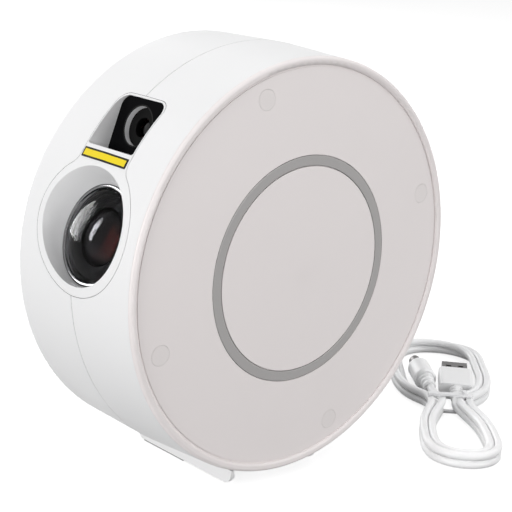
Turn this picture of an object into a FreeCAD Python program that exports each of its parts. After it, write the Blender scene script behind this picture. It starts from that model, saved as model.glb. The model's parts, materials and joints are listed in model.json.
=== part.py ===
import FreeCAD, Part
import os
from math import acos, asin, cos, degrees, pi, radians, sin, sqrt, tan

# Drum-shaped star projector on a small cradle, with its power cable.
# Millimetres. The drum is drawn with its axis on +Y, its front lip at y = 0 and no roll.
# The drum's own pieces are then rolled about that axis to the way it lies in the cradle.
# Angles are about the drum's axis, from +X towards +Z, as seen from the front.
# The optics have a frame of their own: u runs out along the light, v across it, w along the drum's axis.

# Drum
parting_radius = 81.8
front_taper = 1.75
rear_taper = 0.5
parting_shift = 0.7
rear_corner = 2.8
shell_wall = 2.2
seam_bevel = 0.25
tongue_wall = 1.1
tongue_height = 2.0
rest_roll = 18.8

# Front cover
shell_start = 1.2
cover_recess = 1.0
cover_crown = 2.0
cover_wall = 2.2
lip_width = 3.2
lip_groove_width = 0.7
lip_groove_depth = 0.3
cover_skirt = 2.0
cover_boss_wall = 1.6
front_wall_depth = 5.2
front_wall = 2.0
ring_outer_radius = 43.6
ring_width = 3.8
ring_depth = 0.9
ring_proud = 0.1
ring_chamfer = 0.3
ring_shadow_gap = 0.3
ring_outer_gap = 0.2

# Screws that hold the drum together
screw_inset = 11.05
cover_screw_radius = 1.5
cover_screw_head_radius = 3.2
cover_screw_head = 2.2
cover_screw_bite = 12.1
plug_radius = 3.8
plug_thickness = 1.25
boss_radius = 4.0
boss_setback = 2.5
small_screw_radius = 1.2
small_screw_head_radius = 2.2
small_screw_head = 1.5
hole_floor = 0.7
board_screw_bite = 5.0

# Rear wall
rear_recess = 1.0
rear_rim_width = 6.5
grille_radius = 15.0
grille_slot = 1.8
grille_pitch = 4.2

# Keyhole bezel on the rim
bezel_radius = 25.4
bezel_shift = 1.9
bezel_land = 0.45
bezel_top_land = 0.9
bezel_neck_fillet = 6.0
bezel_wall = 1.6
opening_radius = 22.0
strip_length = 24.8
strip_width = 3.8
strip_thickness = 0.25
strip_gap = 1.45

# Optics
optic_angle = 141.7
lens_offset = 9.9
laser_offset = -31.6
ring_seat_drop = 10.0
chrome_radius = 18.8
chrome_height = 1.0
glass_gap = 0.2
dome_radius = 17.3
dome_height = 8.4
dome_lift = 0.3
dome_wall = 1.6
dome_flange = 0.5
seat_thickness = 1.6
barrel_wall = 1.6
wheel_gap = 1.2
lens_shelf_width = 1.2
inner_lens_radius = 11.0
inner_lens_edge = 1.4
inner_lens_height = 5.0
inner_lens_drop = 2.8
window_drop = 12.0
window_half = 12.65
window_top = 10.0
window_bottom = 10.9
window_plate_wall = 1.5
window_corner = 4.5
window_ledge = 1.8
aperture_radius = 7.8
laser_tube_wall = 0.45
laser_baffle_depth = 2.3
laser_lens_radius = 4.2

# Gears and chassis
wheel_front_gap = 2.2
wheel_board_gap = 2.3
gear_module = 0.8
drive_teeth = 26
ripple_teeth = 54
grating_teeth = 28
gear_backlash = 0.14
gear_width = 2.6
chassis_drop = 41.8
chassis_length = 36.0
chassis_wall = 2.4
gear_gap = 1.0
ripple_disc_wall = 1.5
axle_radius = 1.5
grating_radius = 6.0
laser_beam_radius = 4.5
chassis_foot = 2.4
rib_wall = 1.6
rib_reach = 23.0
rib_run = 20.0

# Light sources and motor
led_tube_length = 14.4
led_tube_radius = 10.4
collimator_radius = 8.8
led_board_wall = 1.6
led_chip_side = 3.0
led_chip_height = 0.8
heatsink_width = 18.0
heatsink_length = 36.0
heatsink_base = 3.0
fin_height = 14.0
fin_wall = 1.4
fin_count = 6
laser_radius = 6.0
laser_length = 27.0
clamp_length = 20.0
clamp_side = 18.0
motor_radius = 8.0
motor_length = 18.0
motor_can_length = 9.0
motor_can_radius = 6.8
motor_boss_radius = 4.2
motor_ear_reach = 11.5
motor_ear_wall = 1.2

# Control board, buttons, power inlet and speaker
board_boss_gap = 4.0
board_flat = 17.0
board_wall = 1.6
board_standoff = 6.6
board_screw_inset = 7.2
board_screw_angles = [48, 132]
low_screw_rise = 5.0
low_screw_inset = 17.0
low_screw_side = 20.0
chips = [(-12.0, 7.0, 10.0, 10.0, 1.2), (4.0, 13.0, 7.0, 7.0, 1.2), (-28.0, 7.0, 12.0, 9.0, 2.2)]
cans = [(28.0, 7.0), (34.0, 7.0), (14.0, 25.0)]
can_radius = 2.5
can_height = 7.0
button_inset = 11.0
button_radius = 4.5
button_pitch_angle = 20.0
button_travel = 0.6
button_flange = 1.0
switch_side = 6.0
switch_body = 3.2
switch_plunger = 1.0
jack_angle = 25.0
jack_inset = 9.0
jack_side = 9.0
jack_nose_radius = 4.0
jack_bore_radius = 2.9
jack_pin_radius = 1.0
speaker_boss_gap = 7.0
speaker_radius = 22.0
speaker_depth = 12.0
speaker_wall = 1.0
speaker_flange = 1.5
speaker_lip = 4.5
magnet_radius = 12.0
magnet_depth = 7.0

# Cradle
cradle_half_width = 22.6
cradle_front = 7.0
cradle_rear_inset = 2.7
cradle_wall = 1.6
cradle_corner = 4.0
saddle_front_inset = 7.0
saddle_rear_inset = 5.0
pad_wall = 0.8
pad_width = 6.0
pad_inset = 1.5
foot_wall = 0.6
foot_width = 5.6
drum_clearance = 3.6
short_foot_length = 10.0
short_foot_inset = 1.2

# Power cable, folded into a hank and tied
cord_diameter = 3.5
hank_near = (67.1, -35.8)
hank_heading = 47.0
hank_length = 150.0
hank_waist = 64.0
hank_waist_width = 20.0
hank_bundle_width = 33.5
hank_loop_width = 47.0
hank_band = 6.5
hank_neck = 4.0
hank_taper = 20.0
hank_height = 9.0
loop_shoulder = 16.0
dc_lean = -6.0
usb_lean = 5.0
tie_width = 2.6
tie_wall = 0.9
tie_knot_radius = 1.2
tie_knot_height = 1.7
dc_body_length = 17.0
dc_body_radius = 5.2
dc_relief_length = 9.5
dc_barrel_length = 9.8
dc_barrel_radius = 2.75
dc_bore_radius = 1.05
usb_body_length = 23.0
usb_body_width = 15.5
usb_body_height = 7.6
usb_relief_length = 9.0
usb_shell_length = 12.0
usb_shell_width = 12.0
usb_shell_height = 4.5
usb_shell_wall = 0.35

# Clearances
fit_gap = 0.1
seam_gap = 0.15
running_gap = 0.05
rest_gap = 0.3
skin = 0.03

axis_y = FreeCAD.Vector(0, 1, 0)
origin = FreeCAD.Vector(0, 0, 0)


def vec(x, y, z):
    return FreeCAD.Vector(x, y, z)


def toward(angle):
    return vec(cos(radians(angle)), 0, sin(radians(angle)))


def around(radius, angle, y):
    return toward(angle) * radius + vec(0, y, 0)


def rod(radius, start, end):
    return Part.makeCylinder(radius, (end - start).Length, start, end - start)


def block(x_range, y_range, z_range):
    size = [high - low for low, high in (x_range, y_range, z_range)]
    return Part.makeBox(*size, vec(x_range[0], y_range[0], z_range[0]))


def joined(shapes):
    return shapes[0].fuse(shapes[1:]).removeSplitter()


def without(shape, cuts):
    return shape.cut(cuts) if cuts else shape


def outline(points):
    """Closed wire through (x, y) points. A list of two points is an arc through the first to the second."""
    edges = []
    start = vec(*points[0], 0)
    for point in points[1:] + [points[0]]:
        if isinstance(point, list):
            middle, end = vec(*point[0], 0), vec(*point[1], 0)
            edges.append(Part.Arc(start, middle, end).toShape())
            start = end
        elif (vec(*point, 0) - start).Length > 1e-6:
            end = vec(*point, 0)
            edges.append(Part.LineSegment(start, end).toShape())
            start = end
    return Part.Wire(edges)


def prism(points, low, high):
    face = Part.Face(outline(points))
    face.translate(vec(0, 0, low))
    return face.extrude(vec(0, 0, high - low))


def rounded(x_half, y_low, y_high, corner_low, corner_high):
    """Rectangle about x = 0 with its own corner radius at each end of y."""
    points = []
    for x, y, radius, turn in ((1, y_low, corner_low, 0), (1, y_high, corner_high, 1),
                               (-1, y_high, corner_high, 2), (-1, y_low, corner_low, 3)):
        inward = 1 if y == y_low else -1
        beside = (x * (x_half - radius), y)
        above = (x * x_half, y + inward * radius)
        bulge = radius * (1 - sqrt(0.5))
        middle = (x * (x_half - bulge), y + inward * bulge)
        first, last = (beside, above) if turn % 2 == 0 else (above, beside)
        points += [first, [middle, last]] if radius else [first]
    return points


def turned(points):
    """Solid turned about the drum's axis from a profile of (radius, depth) points."""
    return Part.Face(outline(points)).revolve(origin, axis_y, 360)


def lathed(points):
    """Solid turned about +Z from a profile of (radius, height) points."""
    profile = Part.Face(outline(points))
    profile.rotate(origin, vec(1, 0, 0), 90)
    return profile.revolve(origin, vec(0, 0, 1), 360)


def ring(inner, outer, low, high):
    return lathed([(inner, low), (outer, low), (outer, high), (inner, high)])


def facing(shape, angle, at):
    """Shape drawn about +Z, placed with +Z along the angle, +X along the drum and +Y along growing angles."""
    out, along = toward(angle), toward(angle + 90)
    turn = FreeCAD.Matrix(0, along.x, out.x, at.x,
                          1, along.y, out.y, at.y,
                          0, along.z, out.z, at.z,
                          0, 0, 0, 1)
    placed = shape.copy()
    placed.Placement = FreeCAD.Placement(turn).multiply(shape.Placement)
    return placed


light = toward(optic_angle)
across = toward(optic_angle + 90)


def in_optics(u, v, w=0.0):
    """Point at u out along the light, v across it and w along the drum from the lens's middle plane."""
    return light * u + across * v + vec(0, lens_depth + w, 0)


def on_optics(shape, v, w=0.0):
    """Shape drawn with its height as u, placed on an axis along the light."""
    return facing(shape, optic_angle, in_optics(0, v, w))


# ---- depths and radii that follow from what the drum holds

front_radius = parting_radius - front_taper
rear_radius = parting_radius - rear_taper
screw_circle = front_radius - screw_inset
screw_angles = [0, 90, 180, 270]
shell_front_face = front_wall_depth + front_wall
ripple_pitch_radius = gear_module * ripple_teeth / 2
ripple_tip_radius = ripple_pitch_radius + gear_module
lens_depth = shell_front_face + wheel_front_gap + ripple_tip_radius
parting_depth = lens_depth + parting_shift
boss_joint = parting_depth - boss_setback
chassis_top = lens_depth + ripple_tip_radius
board_depth = chassis_top + wheel_board_gap
board_rear = board_depth + board_wall
rear_inner = board_rear + board_standoff
rear_face = rear_inner + shell_wall
drum_depth = rear_face + rear_recess
shell_end = drum_depth - rear_corner
ground_depth = parting_radius + drum_clearance
ring_seat = parting_radius - ring_seat_drop
ring_inner_radius = ring_outer_radius - ring_width
chrome_inner = dome_radius + glass_gap
window_plane = parting_radius - window_drop
chassis_plane = parting_radius - chassis_drop


# ---- the drum's skin and the keyhole in it


def skin_angle(v):
    """Angle at which the skin stands at a distance across the light."""
    return optic_angle + degrees(asin(v / parting_radius))


bezel_neck_half = window_half + bezel_land
bezel_top_corner = window_corner + bezel_land
bezel_angle = skin_angle(lens_offset - bezel_shift)
bezel_top_angle = skin_angle(laser_offset - window_top - bezel_top_land)
strip_angle = skin_angle(laser_offset + window_bottom + strip_gap + strip_width / 2)


def skin_radius(y):
    """Radius of the drum's skin at a depth from the front lip."""
    if y < parting_depth:
        share = (y - shell_start) / (parting_depth - shell_start)
        return front_radius + share * (parting_radius - front_radius)
    share = (y - parting_depth) / (shell_end - parting_depth)
    return parting_radius + share * (rear_radius - parting_radius)


def skin_solid(grow):
    """Everything inside the drum's skin, grown by the offset."""
    return turned([
        (0, shell_start),
        (front_radius + grow, shell_start),
        (parting_radius + grow, parting_depth),
        (rear_radius + grow, shell_end),
        (0, shell_end),
    ])


def keyhole(grow):
    """Prism that the bezel fills in the rim: a round part for the lens and a neck for the laser window."""
    low, high = parting_radius * 0.75, parting_radius + 10
    half, radius, fillet = bezel_neck_half + grow, bezel_radius + grow, bezel_neck_fillet - grow
    run = sqrt((radius + fillet) ** 2 - (half + fillet) ** 2)
    touch = radius / (radius + fillet)
    bend = pi / 4 + acos(run / (radius + fillet)) / 2
    bend_x, bend_y = half + fillet - fillet * sin(bend), -run + fillet * cos(bend)
    touch_x, touch_y = (half + fillet) * touch, -run * touch
    round_part = prism([
        (-half, -run - 2),
        (half, -run - 2),
        (half, -run),
        [(bend_x, bend_y), (touch_x, touch_y)],
        [(0, radius), (-touch_x, touch_y)],
        [(-bend_x, bend_y), (-half, -run)],
    ], low, high)
    middle = (bezel_top_angle + strip_angle) / 2
    reach = parting_radius * sin(radians(strip_angle - middle))
    neck = prism(rounded(half, -reach - grow, reach, bezel_top_corner, 0), low, high)
    centre = vec(0, lens_depth, 0)
    return joined([facing(round_part, bezel_angle, centre), facing(neck, middle, centre)])


# ---- front cover

def at_screws(radius, low, high):
    return [rod(radius, around(screw_circle, a, low), around(screw_circle, a, high)) for a in screw_angles]


disc_edge = front_radius - lip_width - lip_groove_width
face_sphere = (disc_edge ** 2 + cover_crown ** 2) / (2 * cover_crown)


def cover_face(radius):
    """Depth of the slightly domed face at a distance from the axis."""
    return cover_recess - cover_crown + face_sphere - sqrt(face_sphere ** 2 - radius ** 2)


plug_seat = cover_face(screw_circle) + plug_thickness
cover_head_seat = plug_seat + fit_gap / 2 + cover_screw_head
cover_screw_length = boss_joint + cover_screw_bite - cover_head_seat
ring_seat_depth = cover_face(ring_outer_radius) + ring_depth
above_face = cover_face(0) - 1


def face_arc(reach, behind):
    """Arc of the domed face, or of a surface behind it, from the axis out to a radius."""
    middle = (reach / 2, cover_face(reach / 2) + behind)
    return [(0, cover_face(0) + behind), [middle, (reach, cover_face(reach) + behind)]]


def front_cover():
    lip_inner = front_radius - lip_width
    groove = cover_recess + lip_groove_depth
    skirt_outer = front_radius - shell_wall - fit_gap
    skirt_inner = skirt_outer - cover_skirt
    half = skirt_inner / 2
    plate = turned(face_arc(disc_edge, 0) + [
        (disc_edge, groove),
        (lip_inner, groove),
        (lip_inner, cover_recess * 0.8),
        [(lip_inner + lip_width * 0.12, cover_recess * 0.25), (lip_inner + lip_width * 0.45, 0)],
        [(front_radius - lip_width * 0.14, shell_start * 0.25), (front_radius, shell_start * 0.9)],
        (front_radius, shell_start),
        (skirt_outer, shell_start),
        (skirt_outer, front_wall_depth),
        (skirt_inner, front_wall_depth),
        (skirt_inner, cover_face(skirt_inner) + cover_wall),
        [(half, cover_face(half) + cover_wall), (0, cover_face(0) + cover_wall)],
    ])
    boss_start = cover_face(screw_circle) + cover_wall / 2
    body = joined([plate] + at_screws(plug_radius + cover_boss_wall, boss_start, front_wall_depth))
    inlay = turned([
        (ring_inner_radius - ring_shadow_gap, above_face),
        (ring_outer_radius + ring_outer_gap, above_face),
        (ring_outer_radius + ring_outer_gap, ring_seat_depth),
        (ring_inner_radius - ring_shadow_gap, ring_seat_depth),
    ])
    counterbores = at_screws(plug_radius + running_gap, above_face, cover_head_seat)
    holes = at_screws(cover_screw_radius + fit_gap, above_face, front_wall_depth + 1)
    return without(body, [inlay] + counterbores + holes)


def ring_trim():
    inner, outer = cover_face(ring_inner_radius), cover_face(ring_outer_radius)
    return turned([
        (ring_inner_radius, inner),
        (ring_inner_radius + ring_chamfer, inner - ring_proud),
        (ring_outer_radius - ring_chamfer, outer - ring_proud),
        (ring_outer_radius, outer),
        (ring_outer_radius, ring_seat_depth),
        (ring_inner_radius, ring_seat_depth),
    ])


def screw(radius, head_radius, head, length):
    """Screw along -Z with the top of its head at z = head and its seat at z = 0."""
    socket = head_radius * 0.45
    return lathed([
        (0, head * 0.5),
        (socket, head * 0.5),
        (socket, head),
        (head_radius, head),
        (head_radius, 0),
        (radius, 0),
        (radius, -length + radius * 0.6),
        (0, -length),
    ])


def screwed(shape, at, direction):
    placed = shape.copy()
    turn = FreeCAD.Rotation(vec(0, 0, -1), direction)
    placed.Placement = FreeCAD.Placement(at, turn)
    return placed


def cover_screws():
    one = screw(cover_screw_radius, cover_screw_head_radius, cover_screw_head, cover_screw_length)
    return [screwed(one, around(screw_circle, a, cover_head_seat), axis_y) for a in screw_angles]


def screw_plugs():
    under_face = turned(face_arc(disc_edge, 0) + [(disc_edge, plug_seat), (0, plug_seat)])
    return [plug.common(under_face) for plug in at_screws(plug_radius, above_face, plug_seat)]


# ---- shells

def front_shell():
    inner = front_radius - shell_wall
    wall = turned([
        (0, front_wall_depth),
        (inner, front_wall_depth),
        (inner, shell_start),
        (front_radius, shell_start),
        (skin_radius(parting_depth - seam_bevel), parting_depth - seam_bevel),
        (parting_radius - seam_bevel, parting_depth),
        (parting_radius - shell_wall, parting_depth),
        (skin_radius(shell_front_face) - shell_wall, shell_front_face),
        (0, shell_front_face),
    ])
    tongue_outer = parting_radius - shell_wall - fit_gap
    root = parting_radius - shell_wall + 0.4
    tongue = turned([
        (tongue_outer - tongue_wall, parting_depth - tongue_height),
        (root, parting_depth - tongue_height),
        (root, parting_depth),
        (tongue_outer, parting_depth),
        (tongue_outer, parting_depth + tongue_height),
        (tongue_outer - tongue_wall, parting_depth + tongue_height),
    ]).cut(keyhole(bezel_wall + rest_gap))
    bosses = at_screws(boss_radius, shell_front_face - 0.5, boss_joint)
    feet = [rod(small_screw_radius + 2.3, vec(p.x, shell_front_face - 0.5, p.z), p) for p in chassis_points()]
    holes = at_screws(cover_screw_radius + fit_gap, 0, parting_depth)
    holes += [rod(small_screw_radius + running_gap, vec(p.x, front_wall_depth + hole_floor, p.z), p)
              for p in chassis_points()]
    return without(joined([wall, tongue] + bosses + feet), holes + [keyhole(seam_gap)])


def rear_shell():
    rim = rear_radius - rear_rim_width
    wall = turned([
        (parting_radius - shell_wall, parting_depth),
        (parting_radius - seam_bevel, parting_depth),
        (skin_radius(parting_depth + seam_bevel), parting_depth + seam_bevel),
        (rear_radius, shell_end),
        [(rear_radius - rear_corner * 0.29, drum_depth - rear_corner * 0.29),
         (rear_radius - rear_corner, drum_depth)],
        (rim, drum_depth),
        (rim - rear_recess / 2, rear_face),
        (0, rear_face),
        (0, rear_inner),
        (rear_radius - shell_wall - 2, rear_inner),
        (rear_radius - shell_wall, rear_inner - 2),
    ])
    bosses = at_screws(boss_radius, boss_joint, rear_inner + 0.5)
    posts = [rod(small_screw_radius + 1.9, p, vec(p.x, rear_inner + 0.5, p.z)) for p in board_points()]
    screw_end = cover_head_seat + cover_screw_length
    thread = small_screw_radius + running_gap
    holes = at_screws(cover_screw_radius + running_gap, boss_joint - 1, screw_end + 1)
    holes += [rod(thread, p, p + axis_y * (board_screw_bite + 1)) for p in board_points()]
    holes += [rod(thread, p, p + axis_y * (shell_wall - hole_floor)) for p in speaker_points()]
    holes += [rod(button_radius + fit_gap, around(button_circle, a, rear_inner - 1),
                  around(button_circle, a, drum_depth)) for a in button_angles]
    jack = around(jack_circle, jack_angle, rear_inner - 1)
    holes += [rod(jack_nose_radius + fit_gap, jack, jack + axis_y * (shell_wall + 3))]
    return without(joined([wall] + bosses + posts), holes + grille_slots() + [keyhole(seam_gap)])


def grille_slots():
    """Parallel rounded slots inside a circle behind the speaker."""
    rows = int((grille_radius - grille_slot) / grille_pitch)
    half = grille_slot / 2
    slots = []
    for row in range(-rows, rows + 1):
        side = row * grille_pitch
        reach = sqrt(grille_radius ** 2 - side ** 2) - half
        slot = prism([
            (-reach, -half),
            (reach, -half),
            [(reach + half, 0), (reach, half)],
            (-reach, half),
            [(-reach - half, 0), (-reach, -half)],
        ], 0, shell_wall + 2)
        slot.rotate(origin, vec(1, 0, 0), -90)
        slot.translate(vec(0, rear_inner - 1, side - speaker_drop))
        slots.append(slot)
    return slots


# ---- bezel, dome and laser window

bezel_floor = ring_seat - seat_thickness
tube_inner = aperture_radius - running_gap - laser_tube_wall
tube_top = window_plane - running_gap
baffle_top = tube_top - laser_baffle_depth
laser_seat = baffle_top - 4
chassis_front = chassis_plane + chassis_wall
gear_low = chassis_front + gear_gap
gear_high = gear_low + gear_width
gear_top = gear_high + 1.4


def recess(grow):
    """Cone from the chrome ring's seat out to the round opening in the rim."""
    lift = parting_radius + 2
    opening_depth = (parting_radius + sqrt(parting_radius ** 2 - opening_radius ** 2)) / 2
    seat_centre = in_optics(ring_seat, lens_offset)
    seat_out = seat_centre.dot(toward(bezel_angle))
    seat_side = seat_centre.dot(toward(bezel_angle + 90))
    share = (lift - seat_out) / (opening_depth - seat_out)
    seat_radius = chrome_radius + fit_gap + grow
    top_radius = seat_radius + share * (opening_radius + grow - seat_radius)
    top_centre = toward(bezel_angle) * lift + toward(bezel_angle + 90) * seat_side * (1 - share)
    seat = Part.Wire(Part.makeCircle(seat_radius))
    top = Part.Wire(Part.makeCircle(top_radius))
    return Part.makeLoft([
        facing(seat, optic_angle, seat_centre),
        facing(top, bezel_angle, top_centre + vec(0, lens_depth, 0)),
    ], True, True)


def lens_bezel():
    band = skin_solid(0).cut(skin_solid(-shell_wall)).common(keyhole(0))
    seat_outer = chrome_radius + fit_gap + bezel_wall
    cone = joined([
        recess(bezel_wall),
        on_optics(lathed([(0, bezel_floor), (seat_outer, bezel_floor), (seat_outer, ring_seat + 0.01),
                          (0, ring_seat + 0.01)]), lens_offset),
    ])
    top, bottom = laser_offset - window_top, laser_offset + window_bottom
    pocket_low = window_plane - window_plate_wall
    box = prism(rounded(window_half + bezel_wall, top - bezel_wall, bottom + bezel_wall,
                        window_corner + bezel_wall, 1 + bezel_wall),
                pocket_low - bezel_wall, parting_radius + 5)
    under = skin_solid(-shell_wall - rest_gap).fuse(keyhole(0))
    solid = joined([band, cone.common(skin_solid(0)), on_optics(box, 0).common(skin_solid(0)).common(under)])
    pocket = prism(rounded(window_half, top, bottom, window_corner, 1), pocket_low, parting_radius + 5)
    through = prism(rounded(window_half - window_ledge, top + window_ledge, bottom - window_ledge,
                            window_corner - window_ledge, 0.5), pocket_low - 5, parting_radius)
    lens_hole = lathed([(0, bezel_floor - 5), (chrome_inner + dome_flange + fit_gap, bezel_floor - 5),
                        (chrome_inner + dome_flange + fit_gap, ring_seat + 1), (0, ring_seat + 1)])
    return without(solid, [recess(0), on_optics(lens_hole, lens_offset), on_optics(pocket, 0),
                           on_optics(through, 0)])


def blank_strip():
    half = parting_radius * 0.5
    shape = rounded(strip_length / 2, -strip_width / 2, strip_width / 2, strip_thickness, strip_thickness)
    piece = prism(shape, half, parting_radius + 5)
    film = skin_solid(strip_thickness).cut(skin_solid(skin))
    return film.common(facing(piece, strip_angle, vec(0, lens_depth, 0)))


def window_plate():
    top, bottom = laser_offset - window_top, laser_offset + window_bottom
    shape = rounded(window_half - fit_gap, top + fit_gap, bottom - fit_gap, window_corner - fit_gap, 0.9)
    plate = prism(shape, window_plane - window_plate_wall, window_plane)
    hole = lathed([(0, 0), (aperture_radius, 0), (aperture_radius, parting_radius), (0, parting_radius)])
    return on_optics(plate, 0).cut(on_optics(hole, laser_offset))


def laser_tube():
    outer = aperture_radius - running_gap
    stop = laser_lens_radius - 0.6
    return on_optics(lathed([
        (tube_inner, tube_top),
        (tube_inner, laser_seat),
        (stop, laser_seat),
        (stop, laser_seat - 1),
        (tube_inner, laser_seat - 1),
        (tube_inner, gear_top + rest_gap),
        (outer, gear_top + rest_gap),
        (outer, tube_top),
    ]), laser_offset)


def laser_baffle():
    """Black cup that keeps the laser lens on the shelf of its tube."""
    outer, inner = tube_inner - running_gap, laser_lens_radius + running_gap
    return on_optics(lathed([
        (inner - 0.6, baffle_top),
        (outer, baffle_top),
        (outer, laser_seat),
        (inner, laser_seat),
        (inner, baffle_top - 1),
        (inner - 0.6, baffle_top - 0.8),
    ]), laser_offset)


def laser_lens():
    edge = laser_seat + 1.5
    x, z = cap_middle(laser_lens_radius, 1.2)
    return on_optics(lathed([
        (0, laser_seat),
        (laser_lens_radius, laser_seat),
        (laser_lens_radius, edge),
        [(x, edge + z), (0, edge + 1.2)],
    ]), laser_offset)


def chrome_ring():
    """Bright ring with a rounded crest around the foot of the glass."""
    shoulder, middle = chrome_height * 0.65, (chrome_radius + chrome_inner) / 2
    return on_optics(lathed([
        (chrome_inner, ring_seat),
        (chrome_radius, ring_seat),
        (chrome_radius, ring_seat + shoulder),
        [(middle, ring_seat + chrome_height), (chrome_inner, ring_seat + shoulder)],
    ]), lens_offset)


def cap_middle(radius, height, share=0.5):
    """Radius and height of a point part of the way down a dome of that base radius and height."""
    sphere = (radius ** 2 + height ** 2) / (2 * height)
    angle = asin(radius / sphere) * share
    return sphere * sin(angle), height - sphere * (1 - cos(angle))


def dome_lens():
    base = ring_seat + dome_lift
    outer_x, outer_z = cap_middle(dome_radius, dome_height)
    inner_radius, inner_height = dome_radius - dome_wall, dome_height - dome_wall
    inner_x, inner_z = cap_middle(inner_radius, inner_height)
    flange_top = ring_seat - running_gap
    return on_optics(lathed([
        (inner_radius, bezel_floor),
        (chrome_inner + dome_flange, bezel_floor),
        (chrome_inner + dome_flange, flange_top),
        (dome_radius, flange_top),
        (dome_radius, base),
        [(outer_x, base + outer_z), (0, base + dome_height)],
        (0, base + inner_height),
        [(inner_x, base + inner_z), (inner_radius, base)],
    ]), lens_offset)


lens_shelf = bezel_floor - inner_lens_drop


def lens_barrel():
    """Black tube behind the glass, with the inner lens's shelf near its open end."""
    low = gear_top + wheel_gap
    seat = inner_lens_radius + running_gap
    bore = seat - lens_shelf_width
    return on_optics(lathed([
        (seat, bezel_floor),
        (seat, lens_shelf),
        (bore, lens_shelf),
        (bore, low),
        (bore + barrel_wall, low),
        (seat + barrel_wall, lens_shelf - barrel_wall * 2),
        (seat + barrel_wall, bezel_floor - barrel_wall),
        (chrome_radius, bezel_floor - barrel_wall),
        (chrome_radius, bezel_floor),
    ]), lens_offset)


def inner_lens():
    x, z = cap_middle(inner_lens_radius, inner_lens_height)
    edge = lens_shelf + inner_lens_edge
    return on_optics(lathed([
        (0, lens_shelf),
        (inner_lens_radius, lens_shelf),
        (inner_lens_radius, edge),
        [(x, edge + z), (0, edge + inner_lens_height)],
    ]), lens_offset)


# ---- gears: a motor gear between the ripple wheel and the grating wheel

pressure = radians(20)
drive_v = laser_offset + gear_module * (drive_teeth + grating_teeth) / 2
ripple_v = drive_v + gear_module * (drive_teeth + ripple_teeth) / 2
ripple_rim = ripple_pitch_radius - 1.25 * gear_module - 0.9
hub_radius = axle_radius + 2.1
hub_flange = 0.8
disc_low = gear_high - ripple_disc_wall


def gear(teeth, first_tooth, bore, low, high):
    """Spur gear with involute flanks. first_tooth is the angle of one tooth's middle."""
    pitch = gear_module * teeth / 2
    base = pitch * cos(pressure)
    root, tip = pitch - 1.25 * gear_module, pitch + gear_module
    roll = tan(pressure) - pressure
    half_pitch = pi / (2 * teeth) - gear_backlash / (2 * pitch)

    def half_angle(radius):
        turn = acos(base / max(radius, base))
        return half_pitch + roll - (tan(turn) - turn)

    points = []
    for tooth in range(teeth):
        middle = radians(first_tooth) + 2 * pi * tooth / teeth
        for side, radii in ((-1, (root, max(base, root + 0.2), pitch, tip)),
                            (1, (tip, pitch, max(base, root + 0.2), root))):
            for radius in radii:
                angle = middle + side * half_angle(radius)
                points.append((radius * cos(angle), radius * sin(angle)))
    hole = Part.makeCylinder(bore, high - low + 2, vec(0, 0, low - 1))
    return prism(points, low, high).cut(hole)


def drive_gear():
    wheel = gear(drive_teeth, 90, axle_radius + skin, gear_low, gear_high)
    hub = ring(axle_radius + skin, axle_radius + 1.8, gear_high, gear_high + 0.9)
    return on_optics(joined([wheel, hub]), drive_v)


def motor_shaft():
    return on_optics(lathed([
        (0, chassis_plane - 4),
        (axle_radius, chassis_plane - 4),
        (axle_radius, gear_high + 1.1),
        (axle_radius - 0.3, gear_high + 1.4),
        (0, gear_high + 1.4),
    ]), drive_v)


def ripple_gear():
    first = 270 + 180 / ripple_teeth
    rim = gear(ripple_teeth, first, ripple_rim - 0.9, gear_low + 0.2, gear_high)
    seat = Part.makeCylinder(ripple_rim, ripple_disc_wall + 1, vec(0, 0, disc_low))
    return on_optics(rim.cut(seat), ripple_v)


def ripple_disc():
    return on_optics(ring(hub_radius + running_gap, ripple_rim - running_gap, disc_low, gear_high), ripple_v)


def ripple_hub():
    bore = axle_radius + running_gap
    return on_optics(lathed([
        (bore, gear_low - rest_gap),
        (hub_radius, gear_low - rest_gap),
        (hub_radius, disc_low - hub_flange),
        (hub_radius + 1.4, disc_low - hub_flange),
        (hub_radius + 1.4, disc_low),
        (hub_radius, disc_low),
        (hub_radius, gear_high + 0.3),
        (bore, gear_high + 0.3),
    ]), ripple_v)


def ripple_axle():
    head = gear_high + 0.3 + running_gap * 2
    return on_optics(lathed([
        (0, chassis_plane + 0.2),
        (axle_radius, chassis_plane + 0.2),
        (axle_radius, head),
        (axle_radius + 1, head),
        (axle_radius + 1, head + 0.8),
        (0, head + 0.8),
    ]), ripple_v)


bearing_outer = grating_radius + 0.5


def grating_gear():
    """Ring gear that runs on the chassis bearing, with a seat for the grating on its outer face."""
    first = 90 + 180 / grating_teeth
    shelf = gear_high + 0.6
    wheel = gear(grating_teeth, first, bearing_outer + running_gap, gear_low, gear_high)
    collar = ring(laser_beam_radius + 0.5, grating_radius + 1.9, gear_high, shelf)
    rim = ring(grating_radius + running_gap, grating_radius + 1.9, shelf, gear_top)
    return on_optics(joined([wheel, collar, rim]), laser_offset)


def grating_disc():
    low = gear_high + 0.6
    disc = Part.makeCylinder(grating_radius, gear_top - low, vec(0, 0, low))
    return on_optics(disc, laser_offset)


# ---- chassis and what it carries

chassis_low_v = laser_offset - clamp_side / 2 - 2
chassis_high_v = ripple_v + ripple_pitch_radius + gear_module + 1
chassis_back_u = chassis_plane - chassis_length
base_low = shell_front_face + chassis_foot
base_high = base_low + chassis_wall


def chassis_points():
    """Where the chassis screws down on the front shell's feet, at the face they share."""
    rows = []
    for u in (chassis_back_u + 4, chassis_plane - 4):
        for v in (chassis_low_v + 4, chassis_high_v - 4):
            point = light * u + across * v
            rows.append(vec(point.x, base_low, point.z))
    return rows


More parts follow.
